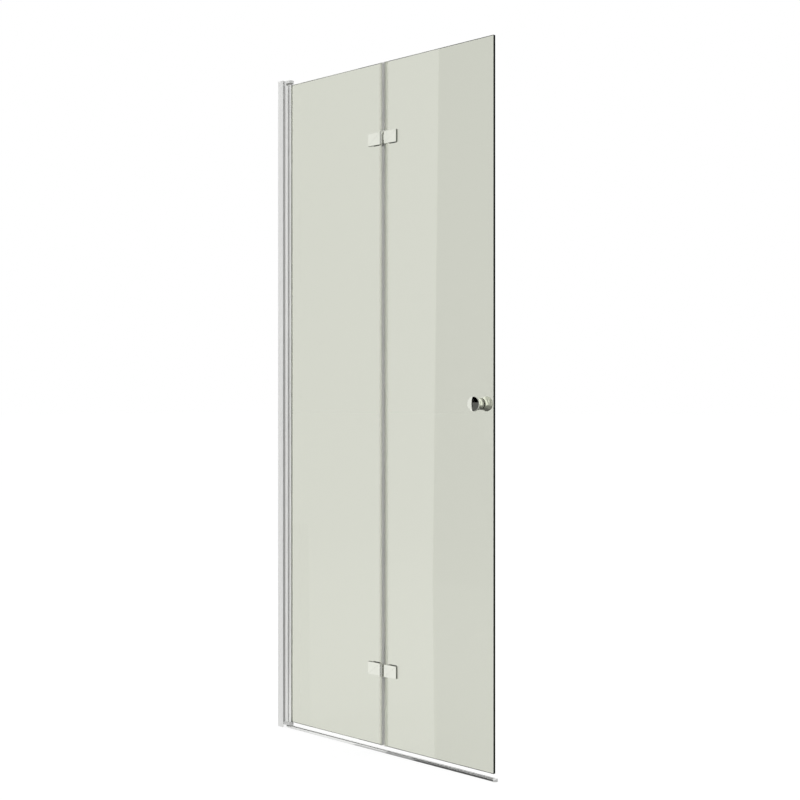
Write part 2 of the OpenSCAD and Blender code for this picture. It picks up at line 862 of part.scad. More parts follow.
module outer_leaf(z) {
  color(chrome)
    translate([fold_x, -hinge_offset, z])
      mirror([1, 0, 0])
        hinge_leaf([[-mid_knuckle_h / 2, mid_knuckle_h]], hinge_bush_r + 0.02);
}

module lower_hinge_inner_leaf() inner_leaf(hinge_zs[0]);
module upper_hinge_inner_leaf() inner_leaf(hinge_zs[1]);
module lower_hinge_outer_leaf() outer_leaf(hinge_zs[0]);
module upper_hinge_outer_leaf() outer_leaf(hinge_zs[1]);

module hinge_pin(z) {
  pin_h = leaf_h - 0.6;
  bevel = 0.4;
  color(steel)
    translate([fold_x, -hinge_offset, z - pin_h / 2]) {
      cylinder(h = bevel, r1 = hinge_pin_r - bevel, r2 = hinge_pin_r);
      translate([0, 0, bevel])
        cylinder(h = pin_h - 2 * bevel, r = hinge_pin_r);
      translate([0, 0, pin_h - bevel])
        cylinder(h = bevel, r1 = hinge_pin_r, r2 = hinge_pin_r - bevel);
    }
}

module lower_hinge_pin() hinge_pin(hinge_zs[0]);
module upper_hinge_pin() hinge_pin(hinge_zs[1]);

// Flanged bushes, one in each end of the middle knuckles
module hinge_bushes() {
  bush_h = mid_knuckle_h / 2 - 0.1;
  color(white_nylon)
    for (z = hinge_zs, side = [0, 1])
      translate([fold_x, -hinge_offset, z])
        mirror([0, 0, side])
          translate([0, 0, mid_knuckle_h / 2 - bush_h]) {
            ring(hinge_bush_r, bush_bore_r, bush_h);
            translate([0, 0, bush_h])
              ring(flange_r, bush_bore_r, hinge_flange_t);
          }
}

// Gaskets of one side of the fold: y0 is their lower face
module gaskets(side, w, h, y0) {
  color(dark_rubber)
    for (z = hinge_zs)
      translate([fold_x + side * leaf_mid, y0, z])
        difference() {
          translate([-w / 2, 0, -h / 2])
            cube([w, gasket_t, h]);
          for (s = screw_offsets)
            translate([0, 0, s])
              y_rod(hinge_screw_r + 0.3, -past, gasket_t + past);
        }
}

module leaf_gaskets(side) gaskets(side, leaf_w - 1, leaf_h - 1, -half_glass - gasket_t);
module back_gaskets(side) gaskets(side, back_plate_w - 1, back_plate_h - 1, half_glass);

module back_plates(side) {
  y1 = half_glass + gasket_t + back_plate_t;
  cone_h = hinge_head_r - hinge_screw_r;
  color(chrome)
    for (z = hinge_zs)
      translate([fold_x + side * leaf_mid, y1, z])
        difference() {
          mirror([0, 1, 0])
            bevelled_plate(back_plate_w, back_plate_h, back_plate_t, leaf_bevel);
          for (s = screw_offsets)
            translate([0, 0, s]) {
              y_rod(hinge_screw_r + sleeve_play, -back_plate_t - past, past);
              rotate([90, 0, 0])
                cylinder(h = cone_h, r1 = hinge_head_r + sleeve_play,
                         r2 = hinge_screw_r + sleeve_play);
            }
        }
}

module hinge_screws(side) {
  color(steel)
    at_leaf_screws(side)
      translate([0, half_glass + gasket_t + back_plate_t, 0])
        countersunk_screw(hinge_screw_r, hinge_head_r, hinge_screw_len);
}

// Sleeve through the glass, centred on the origin and running along Y
module glass_sleeve(bore_r) {
  difference() {
    y_rod(sleeve_r, -half_glass, half_glass);
    y_rod(bore_r + sleeve_play, -glass_t, glass_t);
  }
}

module hinge_sleeves(side) {
  color(white_nylon)
    at_leaf_screws(side) glass_sleeve(hinge_screw_r);
}

module inner_leaf_gaskets() leaf_gaskets(-1);
module inner_back_plates() back_plates(-1);
module inner_back_gaskets() back_gaskets(-1);
module inner_hinge_screws() hinge_screws(-1);
module inner_hinge_sleeves() hinge_sleeves(-1);

// Outer panel

module outer_glass() {
  color(tinted_glass)
    difference() {
      glass_sheet(outer_x0, outer_x1);
      at_leaf_screws(1) y_rod(glass_hole_r, -glass_t, glass_t);
      translate([knob_x, 0, knob_z]) y_rod(glass_hole_r, -glass_t, glass_t);
    }
}

module outer_fold_seal() {
  color(grey_pvc)
    translate([outer_x0, 0, 0])
      mirror([1, 0, 0])
        fold_seal();
}

module outer_leaf_gaskets() leaf_gaskets(1);
module outer_back_plates() back_plates(1);
module outer_back_gaskets() back_gaskets(1);
module outer_hinge_screws() hinge_screws(1);
module outer_hinge_sleeves() hinge_sleeves(1);

// Half of the spool-shaped knob with its crowned face, turned about Z, the glass at z = 0
module knob_half() {
  b = knob_bevel;
  crown = knob_face_r - sqrt(knob_face_r * knob_face_r - knob_r * knob_r);
  rim_z = knob_len - crown;
  rotate_extrude()
    difference() {
      intersection() {
        translate([0, knob_washer_t])
          square([knob_r, knob_len - knob_washer_t]);
        translate([0, knob_len - knob_face_r])
          circle(r = knob_face_r);
      }
      translate([knob_waist_r, 0])
        square([knob_r, knob_waist_h]);
      intersection() {
        translate([knob_waist_r + curve_r, knob_waist_h])
          circle(r = curve_r);
        translate([0, knob_waist_h - 0.01])
          square([knob_r + past, curve_h + 0.01]);
      }
      polygon([[knob_r - b, rim_z + past], [knob_r - b, rim_z], [knob_r, rim_z - b],
               [knob_r + past, rim_z - b], [knob_r + past, rim_z + past]]);
      square([stud_r + thread_play, stud_grip + 0.5]);
    }
}

module knob_front() {
  color(chrome)
    translate([knob_x, -half_glass, knob_z])
      rotate([90, 0, 0])
        knob_half();
}

module knob_back() {
  color(chrome)
    translate([knob_x, half_glass, knob_z])
      rotate([-90, 0, 0])
        knob_half();
}

module knob_stud() {
  reach = half_glass + stud_grip;
  color(steel)
    translate([knob_x, 0, knob_z])
      y_rod(stud_r, -reach, reach);
}

module knob_washers() {
  color(clear_pvc)
    for (y = [-half_glass - knob_washer_t, half_glass])
      translate([knob_x, y, knob_z])
        rotate([-90, 0, 0])
          ring(knob_washer_r, stud_r + sleeve_play, knob_washer_t);
}

module knob_sleeve() {
  color(white_nylon)
    translate([knob_x, 0, knob_z])
      glass_sleeve(stud_r);
}

wall_profile();
wall_profile_cap();
adjusting_profile();
profile_cover_strip();
pivot_seat_seal();
lock_screws();
lock_screw_covers();
top_bearing_block();
bottom_bearing_block();
bearing_block_screws();
bearing_bushes();
threshold_rail();
threshold_end_cap();
threshold_tape();
inner_glass();
pivot_rail();
pivot_rail_gasket();
top_pivot_plug();
bottom_pivot_plug();
pivot_washers();
inner_fold_seal();
upper_hinge_inner_leaf();
lower_hinge_inner_leaf();
inner_leaf_gaskets();
inner_back_plates();
inner_back_gaskets();
inner_hinge_screws();
inner_hinge_sleeves();
upper_hinge_pin();
lower_hinge_pin();
outer_glass();
outer_fold_seal();
upper_hinge_outer_leaf();
lower_hinge_outer_leaf();
outer_leaf_gaskets();
outer_back_plates();
outer_back_gaskets();
outer_hinge_screws();
outer_hinge_sleeves();
hinge_bushes();
knob_front();
knob_back();
knob_stud();
knob_washers();
knob_sleeve();
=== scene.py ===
"""Folding glass bath screen: its finishes, its turned and moulded pieces, and the studio.

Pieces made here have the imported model's sizes and stand for the nodes whose edges the eye
reads. Every other node keeps its mesh and gets its finish. A piece is shaped in millimetres
until it is delivered. The frame, the studio and the camera are in metres.
"""

import json
import logging
import math
from dataclasses import dataclass, replace
from enum import Enum

import bmesh
import bpy
from bmesh.types import BMEdge, BMesh, BMFace, BMVert
from bpy.types import ID, Material, NodeTree, Object
from bpy.types import NodeSocket as Socket
from mathutils import Matrix, Vector


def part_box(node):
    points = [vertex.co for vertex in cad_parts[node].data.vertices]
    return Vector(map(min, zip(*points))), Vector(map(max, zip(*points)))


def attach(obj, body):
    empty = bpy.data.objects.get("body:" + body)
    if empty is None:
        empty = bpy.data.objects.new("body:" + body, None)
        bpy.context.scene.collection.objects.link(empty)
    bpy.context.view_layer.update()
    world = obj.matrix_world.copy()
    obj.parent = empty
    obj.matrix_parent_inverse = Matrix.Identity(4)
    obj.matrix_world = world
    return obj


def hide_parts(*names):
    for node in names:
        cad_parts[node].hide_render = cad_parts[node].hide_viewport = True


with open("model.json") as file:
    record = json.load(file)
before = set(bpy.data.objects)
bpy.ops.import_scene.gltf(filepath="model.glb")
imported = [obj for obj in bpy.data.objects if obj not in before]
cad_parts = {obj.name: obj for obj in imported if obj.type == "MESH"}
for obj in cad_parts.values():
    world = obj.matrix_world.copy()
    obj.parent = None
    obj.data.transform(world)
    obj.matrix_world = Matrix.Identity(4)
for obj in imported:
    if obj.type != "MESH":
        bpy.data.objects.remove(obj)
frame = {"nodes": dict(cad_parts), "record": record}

Pair = tuple[float, float]
Triple = tuple[float, float, float]

MM = 0.001
MERGE = 0.0005  # closer than this, in millimetres, two points of a piece are one
PATTERN_LOW, PATTERN_HIGH = 0.3, 0.7  # the part of a pattern that a finish makes use of
UP = Vector((0.0, 0.0, 1.0))
TO_ROOM = Vector((0.0, -1.0, 0.0))
log = logging.getLogger("bath_screen")


class Body(Enum):
    """The screen's bodies: the still frame and the two panels that move."""

    WALL = "wall_frame"
    INNER = "inner_panel"
    OUTER = "outer_panel"


class Slot(Enum):
    """The record's material slots."""

    ALUMINIUM = "aluminium_profile"
    PLASTIC = "grey_plastic"
    STEEL = "steel"
    NYLON = "white_nylon"
    GLASS = "tinted_glass"
    SEAL = "grey_pvc"
    CLEAR = "clear_pvc"
    RUBBER = "dark_rubber"
    CHROME = "chrome"
    TAPE = "foam_tape"


class Grain(Enum):
    """The way that die lines run, as a stretch of the pattern's coordinates."""

    ALONG_Z = (1400.0, 1400.0, 3.0)
    ALONG_X = (3.0, 1400.0, 1400.0)


def maths(
    tree: NodeTree,
    operation: str,
    first: Socket,
    second: Socket | float = 0.0,
    clamp: bool = False,
) -> Socket:
    """Adds a sum to a node tree.

    Args:
        tree: The node tree.
        operation: The sum's kind.
        first: Its first term.
        second: Its second term, if it has one.
        clamp: True to keep the result from 0 to 1.

    Returns:
        The result.
    """
    node = tree.nodes.new("ShaderNodeMath")
    node.operation = operation
    node.use_clamp = clamp
    tree.links.new(first, node.inputs[0])
    if isinstance(second, float):
        node.inputs[1].default_value = second
    else:
        tree.links.new(second, node.inputs[1])
    return node.outputs[0]


class ShaderTree:
    """A material's node tree, with short ways to add what a finish needs."""

    def __init__(self, name: str) -> None:
        """Starts a material with a Principled shader.

        Args:
            name: The material's name.
        """
        self.material = bpy.data.materials.new(name)
        self.material.use_nodes = True
        self.graph = self.material.node_tree
        self.nodes = self.graph.nodes
        self.links = self.graph.links
        self.shader = self.nodes["Principled BSDF"]
        self.output = self.nodes["Material Output"]
        places = self.nodes.new("ShaderNodeTexCoord").outputs
        self.coords = places["Object"]
        self.normals = places["Normal"]

    def across(self, vector: Socket) -> Socket:
        """Measures a vector across the screen.

        Args:
            vector: The vector.

        Returns:
            Its length along Y, without the sign.
        """
        axes = self.nodes.new("ShaderNodeSeparateXYZ")
        self.links.new(vector, axes.inputs["Vector"])
        return maths(self.graph, "ABSOLUTE", axes.outputs["Y"])

    def vary(self, name: str, factor: Socket, low: float, high: float) -> None:
        """Varies a socket of the shader by the middle of a pattern.

        Args:
            name: The socket's name.
            factor: The pattern, from 0 to 1.
            low: The socket's value where the pattern is low.
            high: Its value where the pattern is high.
        """
        node = self.nodes.new("ShaderNodeMapRange")
        node.inputs["From Min"].default_value = PATTERN_LOW
        node.inputs["From Max"].default_value = PATTERN_HIGH
        node.inputs["To Min"].default_value = low
        node.inputs["To Max"].default_value = high
        self.links.new(factor, node.inputs["Value"])
        self.links.new(node.outputs["Result"], self.shader.inputs[name])

    def set(self, **sockets: float | Triple) -> None:
        """Sets sockets of the Principled shader that are the same all over.

        Args:
            **sockets: Values by socket name, with _ for a space.
        """
        for key, value in sockets.items():
            self.shader.inputs[key.replace("_", " ")].default_value = value

    def stretched(self, scale: Triple) -> Socket:
        """Gives the object coordinates, stretched.

        Args:
            scale: The factor along each axis.

        Returns:
            The stretched coordinates.
        """
        mapping = self.nodes.new("ShaderNodeMapping")
        mapping.inputs["Scale"].default_value = scale
        self.links.new(self.coords, mapping.inputs["Vector"])
        return mapping.outputs["Vector"]

    def noise(self, scale: float, detail: float = 2.0, vector: Socket | None = None) -> Socket:
        """Adds a noise pattern.

        Args:
            scale: Waves for each unit of the coordinates.
            detail: Octaves.
            vector: The coordinates, or none for the object's own.

        Returns:
            The pattern, from 0 to 1.
        """
        node = self.nodes.new("ShaderNodeTexNoise")
        node.inputs["Scale"].default_value = scale
        node.inputs["Detail"].default_value = detail
        self.links.new(vector or self.coords, node.inputs["Vector"])
        return node.outputs["Fac"]

    def cells(self, scale: float) -> Socket:
        """Adds a pattern of rounded cells.

        Args:
            scale: Cells for each metre.

        Returns:
            The distance from each cell's centre.
        """
        node = self.nodes.new("ShaderNodeTexVoronoi")
        node.inputs["Scale"].default_value = scale
        self.links.new(self.coords, node.inputs["Vector"])
        return node.outputs["Distance"]

    def colour(self, factor: Socket, first: Triple, second: Triple) -> None:
        """Varies the base colour by a pattern.

        Args:
            factor: The pattern, from 0 to 1.
            first: The colour where the pattern is low.
            second: The colour where it is high.
        """
        ramp = self.nodes.new("ShaderNodeValToRGB")
        ends = ramp.color_ramp.elements
        ends[0].position, ends[1].position = PATTERN_LOW, PATTERN_HIGH
        ends[0].color, ends[1].color = (*first, 1.0), (*second, 1.0)
        self.links.new(factor, ramp.inputs["Fac"])
        self.links.new(ramp.outputs["Color"], self.shader.inputs["Base Color"])

    def bump(self, height: Socket, strength: float, distance: float) -> None:
        """Adds relief, on top of any that the shader already has.

        Args:
            height: The pattern.
            strength: How much of it is felt, from 0 to 1.
            distance: Its height in metres.
        """
        node = self.nodes.new("ShaderNodeBump")
        node.inputs["Strength"].default_value = strength
        node.inputs["Distance"].default_value = distance
        normal = self.shader.inputs["Normal"]
        if normal.is_linked:
            self.links.new(normal.links[0].from_socket, node.inputs["Normal"])
        self.links.new(height, node.inputs["Height"])
        self.links.new(node.outputs["Normal"], normal)


def shade(colour: Triple, factor: float) -> Triple:
    """Scales a linear colour, every channel by the same factor."""
    return colour[0] * factor, colour[1] * factor, colour[2] * factor


@dataclass(frozen=True)
class AnodisedAluminium:
    """Satin silver anodising over fine die lines."""

    name: str = "profile_anodising"
    grain: Grain = Grain.ALONG_Z
    colour: Triple = (0.89, 0.893, 0.88)
    low: float = 0.36
    high: float = 0.48

    def material(self) -> Material:
        """Builds the finish.

        Returns:
            The material.
        """
        tree = ShaderTree(self.name)
        tree.set(Metallic=1.0)
        lines = tree.noise(scale=1.0, detail=3.0, vector=tree.stretched(self.grain.value))
        clouds = tree.noise(scale=7.0, detail=3.0)
        tree.colour(clouds, shade(self.colour, factor=0.96), self.colour)
        tree.vary("Roughness", lines, self.low, self.high)
        tree.bump(lines, strength=0.12, distance=0.00004)
        tree.bump(tree.noise(scale=4200.0), strength=0.05, distance=0.00001)
        return tree.material


@dataclass(frozen=True)
class PolishedChrome:
    """Bright plated metal with the faintest orange peel and wiping marks."""

    colour: Triple = (0.775, 0.79, 0.715)

    def material(self) -> Material:
        """Builds the finish.

        Returns:
            The material.
        """
        tree = ShaderTree("polished_chrome")
        tree.set(Metallic=1.0)
        tree.colour(tree.noise(scale=40.0), shade(self.colour, factor=0.97), self.colour)
        tree.vary("Roughness", tree.noise(scale=160.0, detail=4.0), low=0.04, high=0.10)
        tree.bump(tree.noise(scale=900.0), strength=0.04, distance=0.00001)
        return tree.material


@dataclass(frozen=True)
class TurnedSteel:
    """Plain stainless steel of the pins and screws, with fine machining marks."""

    colour: Triple = (0.58, 0.58, 0.57)
    marks: Triple = (500.0, 500.0, 2600.0)

    def material(self) -> Material:
        """Builds the finish.

        Returns:
            The material.
        """
        tree = ShaderTree("turned_steel")
        tree.set(Metallic=1.0)
        marks = tree.noise(scale=1.0, detail=3.0, vector=tree.stretched(self.marks))
        clouds = tree.noise(scale=60.0, detail=3.0)
        tree.colour(clouds, shade(self.colour, factor=0.9), self.colour)
        tree.vary("Roughness", marks, low=0.24, high=0.38)
        tree.bump(marks, strength=0.15, distance=0.00003)
        return tree.material


@dataclass(frozen=True)
class MouldedPlastic:
    """Hard plastic with the fine grain of a spark-eroded mould."""

    name: str
    colour: Triple
    low: float = 0.34
    high: float = 0.5
    subsurface: float = 0.0

    def material(self) -> Material:
        """Builds the finish.

        Returns:
            The material.
        """
        tree = ShaderTree(self.name)
        tree.set(IOR=1.5)
        if self.subsurface:
            tree.set(Subsurface_Weight=self.subsurface, Subsurface_Scale=0.002)
            tree.set(Subsurface_Radius=(1.0, 1.0, 1.0))
        clouds = tree.noise(scale=25.0, detail=3.0)
        tree.colour(clouds, shade(self.colour, factor=0.95), self.colour)
        tree.vary("Roughness", tree.noise(scale=300.0, detail=4.0), self.low, self.high)
        tree.bump(tree.noise(scale=3500.0), strength=0.12, distance=0.00003)
        return tree.material


@dataclass(frozen=True)
class SoftPvc:
    """Translucent extruded PVC with flow lines, whose legs may be clearer than its bulb."""

    name: str
    colour: Triple
    clearness: float
    low: float
    high: float
    leg_clearness: float | None = None
    leg_starts: float = 0.004
    ior: float = 1.45
    flow: Triple = (900.0, 900.0, 4.0)

    def material(self) -> Material:
        """Builds the finish.

        Returns:
            The material.
        """
        tree = ShaderTree(self.name)
        tree.set(IOR=self.ior, Transmission_Weight=self.clearness)
        if self.leg_clearness is not None:
            out = tree.across(tree.coords)
            legs = maths(tree.graph, "GREATER_THAN", out, self.leg_starts)
            tree.vary("Transmission Weight", legs, self.clearness, self.leg_clearness)
        lines = tree.noise(scale=1.0, detail=3.0, vector=tree.stretched(self.flow))
        tree.colour(lines, shade(self.colour, factor=0.95), self.colour)
        tree.vary("Roughness", tree.noise(scale=120.0, detail=3.0), self.low, self.high)
        tree.bump(lines, strength=0.1, distance=0.00004)
        return tree.material


@dataclass(frozen=True)
class Rubber:
    """Dark gasket rubber, matt, with a little bloom."""

    colour: Triple = (0.035, 0.035, 0.034)

    def material(self) -> Material:
        """Builds the finish.

        Returns:
            The material.
        """
        tree = ShaderTree("gasket_rubber")
        tree.set(IOR=1.5)
        bloom = tree.noise(scale=90.0, detail=4.0)
        tree.colour(bloom, self.colour, shade(self.colour, factor=1.7))
        tree.vary("Roughness", tree.noise(scale=200.0, detail=3.0), low=0.5, high=0.68)
        tree.bump(tree.noise(scale=2400.0, detail=3.0), strength=0.2, distance=0.00005)
        return tree.material


@dataclass(frozen=True)
class FoamTape:
    """White closed-cell foam of the adhesive tape."""

    colour: Triple = (0.82, 0.82, 0.80)

    def material(self) -> Material:
        """Builds the finish.

        Returns:
            The material.
        """
        tree = ShaderTree("foam_tape")
        tree.set(Roughness=0.85)
        clouds = tree.noise(scale=400.0, detail=3.0)
        tree.colour(clouds, shade(self.colour, factor=0.9), self.colour)
        tree.bump(tree.cells(scale=2500.0), strength=0.4, distance=0.0001)
        return tree.material


@dataclass(frozen=True)
class TintedGlass:
    """Toughened glass, lightly tinted through its body, with painted shade on its ground edges,
    which are near-black from outside.
    """

    tint: Triple = (0.386, 0.419, 0.233)
    density: float = 75.0
    # painted shade of the ground edges: near-black
    edge: Triple = (0.006, 0.008, 0.006)
    sheet_from: float = 0.9

    def material(self) -> Material:
        """Builds the finish.

        Returns:
            The material.
        """
        tree = ShaderTree("tinted_glass")
        tree.set(IOR=1.5)
        outside = self.painted_edge_shade(tree)
        # Painted shade: the ground edges are painted near-black, with no transmission and no
        # sheen.
        tree.vary("Transmission Weight", outside, low=1.0, high=0.0)
        tree.vary("Specular IOR Level", outside, low=0.5, high=0.0)
        tree.colour(outside, (1.0, 1.0, 1.0), self.edge)
        tree.vary("Roughness", tree.noise(scale=3.0, detail=3.0), low=0.0, high=0.012)
        tree.bump(tree.noise(scale=7.0, detail=1.0), strength=0.02, distance=0.0004)
        body = tree.nodes.new("ShaderNodeVolumeAbsorption")
        body.inputs["Color"].default_value = (*self.tint, 1.0)
        body.inputs["Density"].default_value = self.density
        tree.links.new(body.outputs["Volume"], tree.output.inputs["Volume"])
        return tree.material

    def painted_edge_shade(self, tree: ShaderTree) -> Socket:
        """Finds the ground edges of the sheet, on the outside only, where near-black is painted
        as shade for the deep tint.

        Args:
            tree: The material's tree.

        Returns:
            1 on an edge seen from outside and 0 elsewhere.
        """
        facing = tree.across(tree.normals)
        narrow = maths(tree.graph, "LESS_THAN", facing, self.sheet_from)
        inside = tree.nodes.new("ShaderNodeNewGeometry").outputs["Backfacing"]
        return maths(tree.graph, "SUBTRACT", narrow, inside, clamp=True)


class FinishRack:
    """Every finish of the screen, made once, by the record's slot or for one node."""

    def __init__(self) -> None:
        """Builds the materials and notes each node's slot."""
        seal = SoftPvc(
            "seal_pvc",
            (0.985, 0.99, 0.96),
            clearness=0.25,
            low=0.34,
            high=0.46,
            leg_clearness=0.95,
            ior=1.25,
        )
        by_node = {
            "threshold_rail": AnodisedAluminium(
                "threshold_anodising", Grain.ALONG_X, (0.85, 0.855, 0.84), low=0.2, high=0.3
            ),
            # Painted light: the pivot rail wears a lighter copy of the anodising, against the
            # shade in its seat.
            "pivot_rail": AnodisedAluminium("pivot_rail_anodising_painted_light", colour=(0.96, 0.963, 0.95)),
            # Mid-grey strip at the step between the profiles: its own grey, and painted shade
            # where the step's shadow falls.
            "profile_cover_strip": SoftPvc(
                "cover_strip_and_step_shade", (0.46, 0.46, 0.45), clearness=0.0, low=0.3, high=0.42
            ),
            "pivot_rail_gasket": SoftPvc(
                "rail_gasket", (0.98, 0.985, 0.96), clearness=0.15, low=0.3, high=0.4
            ),
            "outer_fold_seal": replace(
                seal, name="outer_seal_pvc", clearness=0.75, leg_clearness=0.97
            ),
        }
        by_slot = {
            Slot.ALUMINIUM: AnodisedAluminium(),
            Slot.PLASTIC: MouldedPlastic("moulded_grey", (0.9, 0.905, 0.89)),
            Slot.STEEL: TurnedSteel(),
            Slot.NYLON: MouldedPlastic(
                "white_nylon", (0.78, 0.78, 0.75), low=0.4, high=0.55, subsurface=0.2
            ),
            Slot.GLASS: TintedGlass(),
            Slot.SEAL: seal,
            Slot.CLEAR: SoftPvc(
                "clear_pvc", (0.95, 0.955, 0.94), clearness=0.3, low=0.08, high=0.15
            ),
            Slot.RUBBER: Rubber(),
            Slot.CHROME: PolishedChrome(),
            Slot.TAPE: FoamTape(),
        }
        self.by_node = {node: finish.material() for node, finish in by_node.items()}
        self.by_slot = {slot: finish.material() for slot, finish in by_slot.items()}
        parts = frame["record"]["subparts"]
        self.slots = {part["node"]: Slot(part["material_slot"]) for part in parts}

    def dress(self, nodes: tuple[str, ...]) -> None:
        """Puts its own finish on each node, or else the finish of its slot.

        Args:
            nodes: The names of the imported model's nodes.
        """
        for node in nodes:
            finish = self.by_node.get(node) or self.by_slot[self.slots[node]]
            for place in frame["nodes"][node].material_slots:
                place.material = finish
            log.info("node %s wears %s", node, finish.name)


def in_scene(name: str, data: ID) -> Object:
    """Puts a mesh, a lamp or a camera into the scene.

    Args:
        name: The object's name.
        data: What the object shows.

    Returns:
        The object.
    """
    thing = bpy.data.objects.new(name, data)
    bpy.context.scene.collection.objects.link(thing)
    return thing


def mesh_object(name: str, bm: BMesh, material: Material) -> Object:
    """Makes an object of a finished bmesh.

    Args:
        name: The object's name.
        bm: The shape, in metres, which is used up.
        material: The finish.

    Returns:
        The object.
    """
    mesh = bpy.data.meshes.new(name)
    bm.to_mesh(mesh)
    bm.free()
    mesh.materials.append(material)
    return in_scene(name, mesh)


@dataclass
class Workshop:
    """Shapes bmeshes in millimetres and delivers them as pieces."""

    rack: FinishRack
    corner_steps: int = 4
    facing: float = 0.999
    crease: float = math.radians(32)

    def block(self, bm: BMesh, low: Triple, high: Triple) -> None:
        """Adds a box.

        Args:
            bm: The mesh it joins.
            low: Its lowest corner.
            high: Its highest corner.
        """
        low, high = Vector(low), Vector(high)
        made = bmesh.ops.create_cube(bm, size=1.0)["verts"]
        bmesh.ops.scale(bm, vec=high - low, verts=made)
        bmesh.ops.translate(bm, vec=(low + high) / 2, verts=made)

    def soften(
        self,
        bm: BMesh,
        geom: list[BMEdge] | list[BMVert],
        size: float,
        steps: int,
        affect: str = "EDGES",
    ) -> None:
        """Rounds edges, or the corners of a wire.

        Args:
            bm: The mesh.
            geom: The edges, or the vertices at the corners.
            size: How far the round reaches.
            steps: Faces across the round.
            affect: EDGES or VERTICES.
        """
        bmesh.ops.bevel(
            bm,
            geom=geom,
            offset=size,
            offset_type="OFFSET",
            segments=steps,
            profile=0.5,
            affect=affect,
            material=-1,
        )

    def round_rim(self, bm: BMesh, way: Vector, size: float, steps: int) -> None:
        """Rounds the rim of the faces that look one way.

        Args:
            bm: The mesh.
            way: The direction that the faces look in.
            size: How far the round reaches.
            steps: Faces across the round.
        """
        bm.normal_update()
        flat = {f for f in bm.faces if f.normal.dot(way) > self.facing}
        rim = {e for f in flat for e in f.edges if any(g not in flat for g in e.link_faces)}
        self.soften(bm, list(rim), size, steps)

    def round_block(
        self,
        bm: BMesh,
        low: Triple,
        high: Triple,
        way: Vector,
        corner: float,
        rim: float,
        steps: int,
    ) -> None:
        """Adds a box with round corners, and a round rim on the face that looks one way.

        Args:
            bm: The mesh it starts.
            low: Its lowest corner.
            high: Its highest corner.
            way: The direction that the face looks in.
            corner: The size of the round on the edges that run that way.
            rim: The size of the round on the face's rim.
            steps: Faces across the rim's round.
        """
        self.block(bm, low, high)
        bm.normal_update()
        along = [
            e for e in bm.edges if abs((e.verts[0].co - e.verts[1].co).dot(way)) > MERGE
        ]
        self.soften(bm, along, corner, self.corner_steps)
        self.round_rim(bm, way, rim, steps)

    def grow(self, bm: BMesh, faces: list[BMFace], height: float) -> None:
        """Extrudes faces up Z.

        Args:
            bm: The mesh.
            faces: The faces.
            height: How far they go.
        """
        grown = bmesh.ops.extrude_face_region(bm, geom=faces)["geom"]
        top = [v for v in grown if isinstance(v, BMVert)]
        bmesh.ops.translate(bm, vec=(0.0, 0.0, height), verts=top)

    def turned(
        self, bm: BMesh, outline: list[Pair], rounds: dict[int, float], closed: bool, sides: int
    ) -> None:
        """Turns an outline of (radius, height) points about Z.

        Args:
            bm: The mesh it joins.
            outline: The points in order.
            rounds: The size of the round at a point, by its place in the outline.
            closed: True if the outline is a loop clear of the axis.
            sides: Sides of a full turn.
        """
        before = set(bm.verts)
        points = [bm.verts.new((r, 0.0, h)) for r, h in outline]
        for a, b in zip(points, points[1:] + points[:1] if closed else points[1:]):
            bm.edges.new((a, b))
        for place, size in rounds.items():
            self.soften(bm, [points[place]], size, self.corner_steps, "VERTICES")
        wire = [v for v in bm.verts if v not in before]
        edges = list({e for v in wire for e in v.link_edges})
        bmesh.ops.spin(
            bm,
            geom=wire + edges,
            cent=(0.0, 0.0, 0.0),
            axis=(0.0, 0.0, 1.0),
            angle=2 * math.pi,
            steps=sides,
            use_merge=True,
        )
        made = [v for v in bm.verts if v not in before]
        bmesh.ops.remove_doubles(bm, verts=made, dist=MERGE)

    def deliver(
        self,
        bm: BMesh,
        name: str,
        body: Body,
        slot: Slot,
        node: str,
        place: Matrix = Matrix.Identity(4),
    ) -> None:
        """Makes a piece of a finished bmesh.

        Args:
            bm: The shape, in millimetres.
            name: The piece's name.
            body: The body that it rides on.
            slot: The record's slot of its finish.
            node: The node that it replaces.
            place: Its turn and place, in millimetres.
        """
        bmesh.ops.transform(bm, matrix=Matrix.Scale(MM, 4) @ place, verts=bm.verts)
        bmesh.ops.recalc_face_normals(bm, faces=bm.faces)
        piece = mesh_object(name, bm, self.rack.by_slot[slot])
        faces = piece.data.polygons
        faces.foreach_set("use_smooth", [True] * len(faces))
        piece.data.set_sharp_from_angle(angle=self.crease)
        level = piece.modifiers.new("flat_faces_stay_flat", "WEIGHTED_NORMAL")
        level.keep_sharp = True
        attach(piece, body.value)
        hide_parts(node)
        log.info("piece %s: %d faces, rides on %s", name, len(faces), body.value)


